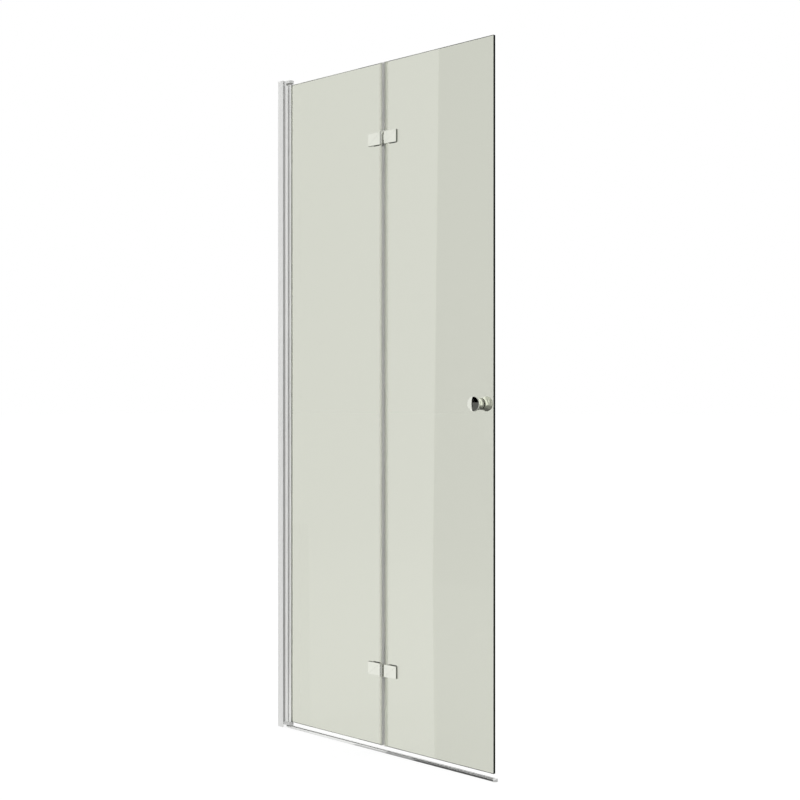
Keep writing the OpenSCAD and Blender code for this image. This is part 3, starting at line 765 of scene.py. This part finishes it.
@dataclass
class WallSide:
    """Wall profile, adjusting profile, bearing blocks and the threshold rail, which stay still.

    A moulding's hidden tongue, spigot or peg runs into its visible part by the bite.
    """

    shop: Workshop
    bite: float = 0.5
    cap_plate: float = 2.0
    cap_corner: float = 0.6
    cap_rim: float = 0.5
    cap_steps: int = 4
    tongue_x: Pair = (2.1, 13.0)
    tongue_half: float = 10.9
    pivot_x: float = 41.0
    top_block: Pair = (1933.5, 8.5)
    bottom_block: Pair = (17.5, 9.3)
    block_x0: float = 22.6
    block_r: float = 9.5
    block_sides: int = 96
    block_rim: float = 1.0
    block_rim_steps: int = 5
    block_foot: float = 0.25
    block_foot_steps: int = 2
    spigot_x: Pair = (13.2, 31.2)
    spigot_half: float = 9.1
    rail_end: float = 791.0
    rail_half: float = 7.0
    rail_h: float = 8.0
    nose_r: float = 7.5
    nose_len: float = 9.0
    nose_steps: int = 20
    dome_r: float = 9.453
    tip_merge: float = 0.002
    crown_z: float = 3.0
    crown_crease: float = math.radians(40)
    crown_round: float = 0.5
    crown_steps: int = 3
    seam: float = 0.01
    peg_len: float = 14.0
    peg_half: float = 5.4
    peg_z: Pair = (2.4, 4.6)
    nodes: tuple[str, ...] = (
        "wall_profile",
        "wall_profile_cap",
        "adjusting_profile",
        "profile_cover_strip",
        "pivot_seat_seal",
        "lock_screws",
        "lock_screw_covers",
        "top_bearing_block",
        "bottom_bearing_block",
        "bearing_block_screws",
        "bearing_bushes",
        "threshold_rail",
        "threshold_end_cap",
        "threshold_tape",
    )

    def build(self) -> None:
        """Dresses the still nodes and makes the moulded pieces."""
        self.shop.rack.dress(self.nodes)
        self.cap()
        self.bearing_block("top_bearing_block", *self.top_block, below=False)
        self.bearing_block("bottom_bearing_block", *self.bottom_block, below=True)
        self.end_cap()

    def cap(self) -> None:
        """Makes the wall profile's cap: a plate with a round rim over a tongue."""
        low, high = (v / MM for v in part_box("wall_profile_cap"))
        plate_z = high.z - self.cap_plate
        bm = bmesh.new()
        self.shop.round_block(
            bm,
            (low.x, low.y, plate_z),
            high[:],
            UP,
            self.cap_corner,
            self.cap_rim,
            self.cap_steps,
        )
        start, end = self.tongue_x
        self.shop.block(
            bm,
            (start, -self.tongue_half, low.z),
            (end, self.tongue_half, plate_z + self.bite),
        )
        self.shop.deliver(bm, "wall_cap_moulded", Body.WALL, Slot.PLASTIC, "wall_profile_cap")

    def bearing_block(self, node: str, face_z: float, height: float, below: bool) -> None:
        """Makes a bearing block: round nose over the pivot, softened rim, spigot inside.

        Args:
            node: The node that it replaces.
            face_z: The height of its face towards the rail.
            height: The height of its head.
            below: True for the block under the rail.
        """
        bm = bmesh.new()
        nose = bmesh.ops.create_circle(
            bm, cap_ends=True, segments=self.block_sides, radius=self.block_r
        )
        for v in nose["verts"]:
            if v.co.x < -MERGE:
                v.co.x = self.block_x0 - self.pivot_x
        self.shop.grow(bm, list(bm.faces), height)
        bmesh.ops.recalc_face_normals(bm, faces=bm.faces)
        self.shop.round_rim(bm, UP, self.block_rim, self.block_rim_steps)
        self.shop.round_rim(bm, -UP, self.block_foot, self.block_foot_steps)
        lowest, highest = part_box(node)
        reach = abs((highest if below else lowest).z / MM - face_z)
        start, end = (x - self.pivot_x for x in self.spigot_x)
        self.shop.block(
            bm, (start, -self.spigot_half, -reach), (end, self.spigot_half, self.bite)
        )
        place = Matrix.Translation((self.pivot_x, 0.0, face_z))
        if below:
            place = place @ Matrix.Diagonal((1.0, 1.0, -1.0, 1.0))
        self.shop.deliver(bm, node + "_moulded", Body.WALL, Slot.PLASTIC, node, place)

    def end_cap(self) -> None:
        """Makes the threshold rail's end cap: a domed section with a round nose in plan."""
        bm = bmesh.new()
        bmesh.ops.create_grid(
            bm, x_segments=self.nose_steps, y_segments=self.nose_steps, size=1.0
        )
        nose_x = self.rail_end + self.nose_len - self.nose_r
        first = math.asin((self.rail_end - nose_x) / self.nose_r)
        for v in bm.verts:
            turn = first + (math.pi / 2 - first) * (v.co.x + 1) / 2
            y = v.co.y * min(self.rail_half, self.nose_r * math.cos(turn))
            z = self.rail_h - self.dome_r + math.sqrt(self.dome_r**2 - y * y)
            v.co = Vector((nose_x + self.nose_r * math.sin(turn), y, z))
        rim = [e for e in bm.edges if e.is_boundary]
        for v in bmesh.ops.extrude_edge_only(bm, edges=rim)["geom"]:
            if isinstance(v, BMVert):
                v.co.z = 0.0
        bmesh.ops.remove_doubles(bm, verts=bm.verts, dist=self.tip_merge)
        bmesh.ops.holes_fill(bm, edges=[e for e in bm.edges if e.is_boundary], sides=0)
        bmesh.ops.recalc_face_normals(bm, faces=bm.faces)
        bm.normal_update()
        crown = [
            e
            for e in bm.edges
            if min(v.co.z for v in e.verts) > self.crown_z
            and e.calc_face_angle(0.0) > self.crown_crease
            and max(abs(v.co.x - self.rail_end) for v in e.verts) > self.seam
        ]
        self.shop.soften(bm, crown, self.crown_round, self.crown_steps)
        low_z, high_z = self.peg_z
        self.shop.block(
            bm,
            (self.rail_end - self.peg_len, -self.peg_half, low_z),
            (self.rail_end + self.bite, self.peg_half, high_z),
        )
        self.shop.deliver(
            bm, "threshold_nose_moulded", Body.WALL, Slot.PLASTIC, "threshold_end_cap"
        )


@dataclass
class HingeLeaf:
    """One leaf of a fold hinge: a plate with crisp rounded edges and its knuckles."""

    shop: Workshop
    pin: Vector
    side: float
    knuckles: tuple[Pair, ...]
    bore_r: float
    edge: float = 7.25
    width: float = 45.0
    height: float = 35.0
    front: float = 1.0
    back: float = 7.2
    corner: float = 0.5
    rim: float = 0.7
    rim_steps: int = 5
    knuckle_r: float = 5.0
    knuckle_round: float = 0.35
    knuckle_sides: int = 72
    arm_bite: float = 1.0
    arm_y: Pair = (1.2, 5.7)
    arm_top: Pair = (-1.0, 4.85)
    arm_wrap: tuple[float, ...] = (97.0, 135.0, 175.0)
    arm_past_bore: float = 0.5
    arm_gap: float = 0.1

    def build(self, node: str, body: Body) -> None:
        """Makes the leaf on the -X side of its pin, and mirrors it if it is the other one.

        Args:
            node: The node that it replaces.
            body: The body that it rides on.
        """
        bm = bmesh.new()
        self.shop.round_block(
            bm,
            (-self.edge - self.width, self.front, -self.height / 2),
            (-self.edge, self.back, self.height / 2),
            TO_ROOM,
            self.corner,
            self.rim,
            self.rim_steps,
        )
        for low, tall in self.knuckles:
            self.knuckle(bm, low, tall)
        place = Matrix.Translation(self.pin) @ Matrix.Diagonal((-self.side, 1.0, 1.0, 1.0))
        self.shop.deliver(bm, node + "_cast", body, Slot.CHROME, node, place)

    def knuckle(self, bm: BMesh, low: float, tall: float) -> None:
        """Adds one knuckle and the arm that joins it to the plate.

        Args:
            bm: The leaf's mesh.
            low: The height of its lower end, from the hinge's middle.
            tall: Its height.
        """
        high = low + tall
        ring = [
            (self.bore_r, low),
            (self.knuckle_r, low),
            (self.knuckle_r, high),
            (self.bore_r, high),
        ]
        rounds = {1: self.knuckle_round, 2: self.knuckle_round}
        self.shop.turned(bm, ring, rounds, True, self.knuckle_sides)
        inner = self.bore_r + self.arm_past_bore
        outline = [(-self.edge - self.arm_bite, y) for y in self.arm_y] + [self.arm_top]
        for turn in map(math.radians, self.arm_wrap):
            outline.append((inner * math.cos(turn), inner * math.sin(turn)))
        foot = [bm.verts.new((x, y, low + self.arm_gap)) for x, y in outline]
        self.shop.grow(bm, [bm.faces.new(foot)], tall - 2 * self.arm_gap)


@dataclass
class FoldHinges:
    """The two hinges between the panels."""

    shop: Workshop
    pin_x: float = 414.0
    pin_y: float = -12.0
    heights: tuple[tuple[str, float], ...] = (("upper", 1715.0), ("lower", 231.0))
    end_knuckles: tuple[Pair, ...] = ((-17.5, 8.75), (8.75, 8.75))
    middle_knuckle: tuple[Pair, ...] = ((-8.15, 16.3),)
    pin_bore: float = 2.52
    bush_bore: float = 3.57
    nodes: tuple[str, ...] = (
        "inner_leaf_gaskets",
        "inner_back_plates",
        "inner_back_gaskets",
        "inner_hinge_screws",
        "inner_hinge_sleeves",
        "upper_hinge_pin",
        "lower_hinge_pin",
        "upper_hinge_inner_leaf",
        "lower_hinge_inner_leaf",
        "outer_leaf_gaskets",
        "outer_back_plates",
        "outer_back_gaskets",
        "outer_hinge_screws",
        "outer_hinge_sleeves",
        "hinge_bushes",
        "upper_hinge_outer_leaf",
        "lower_hinge_outer_leaf",
    )

    def build(self) -> None:
        """Dresses the hinges' nodes and makes the four leaves."""
        self.shop.rack.dress(self.nodes)
        for level, z in self.heights:
            pin = Vector((self.pin_x, self.pin_y, z))
            inner = HingeLeaf(self.shop, pin, -1.0, self.end_knuckles, self.pin_bore)
            inner.build(level + "_hinge_inner_leaf", Body.INNER)
            outer = HingeLeaf(self.shop, pin, 1.0, self.middle_knuckle, self.bush_bore)
            outer.build(level + "_hinge_outer_leaf", Body.OUTER)


@dataclass
class Knob:
    """The pull knob: a turned half on each side of the glass."""

    shop: Workshop
    axis_x: float = 746.0
    axis_z: float = 974.0
    glass_half: float = 4.0
    washer: float = 1.0
    rim_r: float = 19.5
    waist_r: float = 15.5
    length: float = 30.0
    waist_h: float = 7.0
    waist_round: float = 0.4
    rim_h: float = 6.0
    rim_round: float = 0.8
    face_r: float = 100.0
    flare_steps: int = 16
    crown_steps: int = 12
    sides: int = 128
    nodes: tuple[str, ...] = (
        "knob_front",
        "knob_back",
        "knob_stud",
        "knob_washers",
        "knob_sleeve",
    )

    def build(self) -> None:
        """Dresses the knob's nodes and turns its halves."""
        self.shop.rack.dress(self.nodes)
        outline = self.outline()
        rim = len(outline) - self.crown_steps - 1
        rounds = {1: self.waist_round, rim: self.rim_round}
        for node, side in (("knob_front", -1.0), ("knob_back", 1.0)):
            bm = bmesh.new()
            self.shop.turned(bm, outline, rounds, False, self.sides)
            place = Matrix.Translation((self.axis_x, side * self.glass_half, self.axis_z))
            place = place @ Matrix.Rotation(-side * math.pi / 2, 4, "X")
            self.shop.deliver(bm, node + "_turned", Body.OUTER, Slot.CHROME, node, place)

    def outline(self) -> list[Pair]:
        """Gives the half's outline, from the glass side to the middle of the crowned face.

        Returns:
            Points of (radius, distance from the glass).
        """
        rise = self.rim_r - self.waist_r
        run = self.length - self.rim_h - self.waist_h
        sweep = (run * run + rise * rise) / (2 * rise)
        points = [(0.0, self.washer), (self.waist_r, self.washer), (self.waist_r, self.waist_h)]
        for step in range(1, self.flare_steps):
            h = run * step / self.flare_steps
            r = self.waist_r + sweep - math.sqrt(sweep * sweep - h * h)
            points.append((r, self.waist_h + h))
        points.append((self.rim_r, self.length - self.rim_h))
        for step in range(self.crown_steps + 1):
            r = self.rim_r * (1 - step / self.crown_steps)
            drop = self.face_r - math.sqrt(self.face_r**2 - r * r)
            points.append((r, self.length - drop))
        return points


@dataclass
class Panels:
    """Glass sheets, pivot rail and fold seals, whose nodes keep their meshes."""

    shop: Workshop
    sheets: tuple[str, ...] = ("inner_glass", "outer_glass")
    nodes: tuple[str, ...] = (
        "pivot_rail",
        "pivot_rail_gasket",
        "top_pivot_plug",
        "bottom_pivot_plug",
        "pivot_washers",
        "inner_fold_seal",
        "outer_fold_seal",
    )

    def build(self) -> None:
        """Dresses the panels' nodes. The clear sheets throw no shadow."""
        self.shop.rack.dress(self.sheets + self.nodes)
        for name in self.sheets:
            frame["nodes"][name].visible_shadow = False


def seen_plainly(tree: NodeTree) -> Socket:
    """Picks out the rays that see the background: straight, mirrored or through glass.

    Args:
        tree: The node tree.

    Returns:
        1 for such a ray and 0 for any other.
    """
    rays = tree.nodes.new("ShaderNodeLightPath").outputs
    either = maths(tree, "MAXIMUM", rays["Is Camera Ray"], rays["Is Glossy Ray"])
    return maths(tree, "MAXIMUM", either, rays["Is Transmission Ray"])


@dataclass(frozen=True)
class PaintedReflectionCard:
    """A dark or bright card beside the set, which only mirrored rays see: a painted reflection of
    shade or light on the metal and glass.
    """

    name: str
    corners: tuple[Triple, ...]
    grey: float
    reach: Pair = (0.0, 100.0)
    through_glass: bool = False

    def build(self) -> None:
        """Puts the card into the set."""
        bm = bmesh.new()
        bm.faces.new([bm.verts.new(c) for c in self.corners])
        card = mesh_object(self.name, bm, self.material())
        card.visible_camera = False
        card.visible_diffuse = False
        card.visible_volume_scatter = False
        card.visible_shadow = False
        log.info("stage card %s", self.name)

    def material(self) -> Material:
        """Makes the card's painted reflection, a glow of its grey, clear to the rays that it
        isn't meant for.

        Returns:
            The material.
        """
        material = bpy.data.materials.new(self.name)
        material.use_nodes = True
        tree = material.node_tree
        nodes, links = tree.nodes, tree.links
        nodes.remove(nodes["Principled BSDF"])
        # Painted reflection: the card glows with its grey, and above 1 it is a painted highlight.
        glow = nodes.new("ShaderNodeEmission")
        glow.inputs["Color"].default_value = (1.0, 1.0, 1.0, 1.0)
        glow.inputs["Strength"].default_value = self.grey
        rays = nodes.new("ShaderNodeLightPath").outputs
        once = 0.5
        passes = once if self.through_glass else -once
        near, far = self.reach
        seen = maths(tree, "GREATER_THAN", rays["Glossy Depth"], once)
        for output, operation, limit in (
            ("Transmission Depth", "GREATER_THAN", passes),
            ("Ray Length", "GREATER_THAN", near),
            ("Ray Length", "LESS_THAN", far),
        ):
            test = maths(tree, operation, rays[output], limit)
            seen = maths(tree, "MULTIPLY", seen, test)
        either = nodes.new("ShaderNodeMixShader")
        clear = nodes.new("ShaderNodeBsdfTransparent")
        links.new(seen, either.inputs[0])
        links.new(clear.outputs[0], either.inputs[1])
        links.new(glow.outputs[0], either.inputs[2])
        links.new(either.outputs[0], nodes["Material Output"].inputs["Surface"])
        return material


def upright(
    name: str, left: Pair, right: Pair, z: Pair, grey: float, **limits: Pair | bool
) -> PaintedReflectionCard:
    """Describes a card that stands upright.

    Args:
        name: The card's name.
        left: One end, as X and Y.
        right: The other end.
        z: Its lowest and highest point.
        grey: Its brightness.
        **limits: Which rays see it, as a Card's reach and through_glass.

    Returns:
        The card.
    """
    low, high = z
    places = ((*left, low), (*right, low), (*right, high), (*left, high))
    return PaintedReflectionCard(name, places, grey, **limits)


def lying(
    name: str, plan: tuple[Pair, ...], grey: float, z: float = -0.0002, **limits: Pair | bool
) -> PaintedReflectionCard:
    """Describes a card that lies on the floor, or level at a height."""
    return PaintedReflectionCard(name, tuple((x, y, z) for x, y in plan), grey, **limits)


def oblong(x: Pair, y: Pair) -> tuple[Pair, ...]:
    """Gives the corners of an oblong in plan from its reach along X and along Y."""
    return (x[0], y[0]), (x[1], y[0]), (x[1], y[1]), (x[0], y[1])


@dataclass
class Studio:
    """White room, pale floor, soft lamps, and cards that paint reflections of shade and light."""

    floor_colour: Triple = (0.16, 0.16, 0.16)
    floor_glow: float = 0.885
    floor_roughness: float = 0.9
    floor_half: float = 60.0
    floor_z: float = -0.0006
    ambient: float = 0.75
    lamps: tuple[tuple[Triple, float, float], ...] = (
        ((-1.6, -3.2, 2.8), 2.6, 50.0),
        ((2.6, 2.2, 3.0), 2.4, 30.0),
    )
    aim: Triple = (0.4, 0.0, 0.9)
    # Painted reflections: dark cards paint shade and dark lines into the metal and glass, and
    # bright cards paint highlights. A card's reach keeps it to the parts near it.
    cards: tuple[PaintedReflectionCard, ...] = (
        # Painted reflection in the glass: a black and a grey part of the room in front.
        PaintedReflectionCard(
            "front_black",
            ((-1.34, -2.42, 0.0), (-0.9, -2.42, 0.0), (-0.9, -2.42, 4.0), (-1.28, -2.42, 4.0)),
            grey=0.0,
        ),
        upright("front_grey", (-0.9, -2.42), (2.0, -2.42), z=(0.0, 4.0), grey=0.6),
        # Painted shade on the knob's crowned face and upper barrel.
        upright("knob_black", (0.615, -0.2), (0.751, -0.2), (0.991, 1.1), 0.0, reach=(0.1, 0.3)),
        upright("knob_grey", (0.615, -0.2), (0.751, -0.2), (0.86, 0.991), 0.13, reach=(0.1, 0.3)),
        # Painted highlight on the knob's barrels, glowing brighter than white.
        *(
            upright(name, left, right, z, grey, reach=reach, through_glass=True)
            for name, left, right, z, grey, reach in (
                ("knob_glow", (0.7, 0.06), (0.84, 0.06), (0.95, 1.052), 1.45, (0.076, 0.125)),
                ("knob_white", (0.7, 0.065), (0.825, 0.065), (0.956, 1.03), 1.6, (0.055, 0.073)),
            )
        ),
        # Painted shade on the knob's lower barrels.
        *(
            lying(
                name,
                oblong(x, (0.01, 0.15)),
                grey,
                z=0.9,
                reach=(0.05, 0.25),
                through_glass=True,
            )
            for name, x, grey in (
                ("knob_shade", (0.77, 0.91), 0.3),
                ("knob_foot", (0.66, 0.77), 0.15),
            )
        ),
        # Painted shade: dark lines on the hinge plates beside the pins, where the shadow gaps
        # are.
        *(
            upright(name, (0.374, -0.057), (0.402, -0.057), z, grey=0.03, reach=(0.0, 0.06))
            for name, z in (("upper_pin_front", (1.68, 1.75)), ("lower_pin_front", (0.19, 0.27)))
        ),
        *(
            upright(name, (0.52, -0.058), (0.52, -0.006), z, grey=0.0, reach=(0.095, 0.13))
            for name, z in (("upper_pin_side", (1.68, 1.75)), ("lower_pin_side", (0.18, 0.27)))
        ),
        # Painted highlight along the pivot rail's jaw, seen through the glass, brighter than
        # white.
        upright(
            "rail_end_glow",
            (0.052, 0.03),
            (0.08, 0.008),
            z=(0.03, 1.93),
            grey=2.2,
            reach=(0.004, 0.06),
            through_glass=True,
        ),
        # Painted shadow on the floor in front of the threshold rail, darker towards its end, seen
        # only in the rail's mirrored skirt.
        *(
            lying(name, oblong(x, (-0.03, -0.0075)), grey)
            for name, x, grey in (
                ("rail_foot_pale", (0.3, 0.42), 0.6),
                ("rail_foot_mid", (0.42, 0.52), 0.35),
                ("rail_foot_dark", (0.52, 0.8), 0.1),
            )
        ),
        # Painted reflections of the floor and room in the glass and the threshold rail, darker or
        # paler here and there than the even white.
        upright("front_pale", (2.0, -2.42), (6.0, -2.42), z=(0.0, 4.0), grey=0.75),
        lying(
            "left_floor",
            ((-4.0, -0.012), (-4.0, -4.0), (-3.85, -4.0), (0.12, -0.012)),
            grey=0.85,
        ),
        lying(
            "front_floor",
            ((0.59, -0.012), (-1.34, -2.42), (-0.92, -2.42), (0.8, -0.012)),
            grey=0.1,
        ),
        lying(
            "front_floor_grey",
            ((0.8, -0.012), (-0.92, -2.42), (3.0, -2.42), (0.95, -0.012)),
            grey=0.6,
        ),
        # Painted shade on the faces that look right, and painted dark lines on the hinges.
        *(
            upright(name, left, right, z, grey, through_glass=True)
            for name, left, right, z, grey in (
                ("side_grey", (3.4, 0.35), (0.9, 2.9), (0.0, 4.0), 0.6),
                ("upper_hinge_flag", (1.36, 1.2), (1.72, 1.2), (1.9, 2.3), 0.1),
                ("hinge_line_flag", (-1.5, 2.0), (-1.15, 2.0), (0.8, 1.2), 0.03),
            )
        ),
        # Painted dark line on the threshold rail, with a grey step at its end.
        upright("rail_line_flag", (-0.95, 2.0), (-0.2, 2.0), z=(0.3, 1.5), grey=0.05),
        upright("rail_line_mid", (-1.15, 2.0), (-0.95, 2.0), z=(0.3, 1.5), grey=0.35),
        # Painted shade on the threshold rail's top, darker towards its end.
        *(
            lying(name, oblong(x, (-0.05, 0.006)), grey, z=0.06, reach=(0.066, 0.14))
            for name, x, grey in (
                ("rail_lid_dark", (0.48, 0.75), 0.12),
                ("rail_lid_mid", (0.38, 0.48), 0.4),
            )
        ),
        # Painted dark floor, seen only in mirrored and refracted rays, as painted shade on the
        # hinges and the threshold rail.
        *(
            lying(name, oblong(x, y), grey, through_glass=True)
            for name, x, y, grey in (
                ("hinge_floor", (0.88, 1.4), (0.5, 1.0), 0.12),
                ("back_floor", (-0.5, 4.0), (1.15, 4.5), 0.2),
            )
        ),
    )

    def build(self) -> None:
        """Builds the room, lamps and cards."""
        self.room()
        self.floor()
        for place, size, power in self.lamps:
            self.lamp(Vector(place), size, power)
        for card in self.cards:
            card.build()

    def room(self) -> None:
        """Makes the world white to look at, and a plain level of light otherwise."""
        world = bpy.data.worlds.new("white_room")
        world.use_nodes = True
        bpy.context.scene.world = world
        tree = world.node_tree
        background = tree.nodes["Background"]
        background.inputs["Color"].default_value = (1.0, 1.0, 1.0, 1.0)
        level = tree.nodes.new("ShaderNodeMapRange")
        level.inputs["To Min"].default_value = self.ambient
        level.inputs["To Max"].default_value = 1.0
        tree.links.new(seen_plainly(tree), level.inputs["Value"])
        tree.links.new(level.outputs["Result"], background.inputs["Strength"])

    def floor(self) -> None:
        """Lays the floor, white to look at and still taking the object's shadow."""
        material = bpy.data.materials.new("studio_floor")
        material.use_nodes = True
        tree = material.node_tree
        shader = tree.nodes["Principled BSDF"]
        shader.inputs["Base Color"].default_value = (*self.floor_colour, 1.0)
        shader.inputs["Roughness"].default_value = self.floor_roughness
        shader.inputs["Specular IOR Level"].default_value = 0.0
        glow = tree.nodes.new("ShaderNodeEmission")
        strength = maths(tree, "MULTIPLY", seen_plainly(tree), self.floor_glow)
        tree.links.new(strength, glow.inputs["Strength"])
        both = tree.nodes.new("ShaderNodeAddShader")
        tree.links.new(shader.outputs["BSDF"], both.inputs[0])
        tree.links.new(glow.outputs["Emission"], both.inputs[1])
        tree.links.new(both.outputs[0], tree.nodes["Material Output"].inputs["Surface"])
        bm = bmesh.new()
        bmesh.ops.create_grid(bm, x_segments=1, y_segments=1, size=self.floor_half)
        bmesh.ops.translate(bm, vec=(0.0, 0.0, self.floor_z), verts=bm.verts)
        floor = mesh_object("studio_floor", bm, material)

    def lamp(self, place: Vector, size: float, power: float) -> None:
        """Hangs a soft lamp that looks at the screen.

        Args:
            place: Where it hangs.
            size: The side of its square.
            power: Its power in watts.
        """
        light = bpy.data.lights.new("softbox", "AREA")
        light.size = size
        light.energy = power
        holder = in_scene("softbox", light)
        holder.location = place
        way = Vector(self.aim) - place
        holder.rotation_euler = way.to_track_quat("-Z", "Y").to_euler()
        holder.visible_glossy = False
        holder.visible_transmission = False
        holder.visible_camera = False


@dataclass(frozen=True)
class ViewFinder:
    """The camera of the photograph, level and turned 40 degrees."""

    place: Triple = (2.5204, -2.4219, 0.9874)
    turn: float = 40.232
    lens: float = 51.689
    sensor: float = 36.0
    rise: float = -0.00154
    nearest: float = 0.05
    farthest: float = 200.0

    def build(self) -> None:
        """Makes the camera and gives it to the scene."""
        data = bpy.data.cameras.new("viewfinder")
        data.lens = self.lens
        data.sensor_width = self.sensor
        data.shift_y = self.rise
        data.clip_start, data.clip_end = self.nearest, self.farthest
        camera = in_scene("viewfinder", data)
        camera.location = self.place
        camera.rotation_euler = (math.pi / 2, 0.0, math.radians(self.turn))
        bpy.context.scene.camera = camera


def corners(box: tuple[Vector, Vector]) -> list[list[float]]:
    """Gives a box's lowest and highest corners as plain lists."""
    return [[float(value) for value in corner] for corner in box]


def main() -> None:
    """Builds the screen, piece by piece, and the studio round it."""
    logging.basicConfig(level=logging.INFO, format="%(message)s")
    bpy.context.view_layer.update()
    bpy.context.scene.view_settings.view_transform = "Standard"
    ViewFinder().build()
    shop = Workshop(FinishRack())
    WallSide(shop).build()
    Panels(shop).build()
    FoldHinges(shop).build()
    Knob(shop).build()
    Studio().build()
    bpy.context.view_layer.update()


if __name__ == "__main__":
    main()
